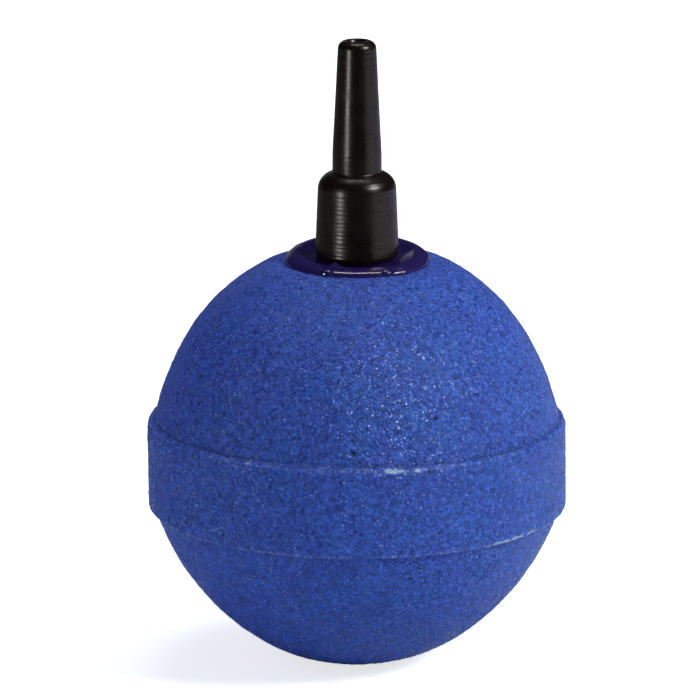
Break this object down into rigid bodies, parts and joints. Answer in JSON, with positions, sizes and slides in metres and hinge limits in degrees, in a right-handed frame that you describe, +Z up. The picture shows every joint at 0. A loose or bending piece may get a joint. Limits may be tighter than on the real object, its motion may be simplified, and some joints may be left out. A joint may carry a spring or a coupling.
{
  "type": "air stone",
  "caption": "Ball-shaped porous air stone with a raised band round its middle, a black tapered hose nozzle and a glossy resin seal.",
  "frame": {"origin": "centre of the ball's flat foot, on the surface it stands on", "axes": "+Z up along the common axis of the ball, the band and the nozzle, out of the nozzle's tip"},
  "size_m": [0.05, 0.05, 0.075],
  "materials": {
    "stone": "matt bonded grit, pigmented royal blue, open pores",
    "nozzle": "semi-gloss black moulded plastic with faint turning marks on the collar",
    "resin": "glossy cured resin, dark violet blue"
  },
  "bodies": {
    "root": {"stone_ball": "stone", "hose_nozzle": "nozzle", "resin_seal": "resin"}
  },
  "joints": []
}
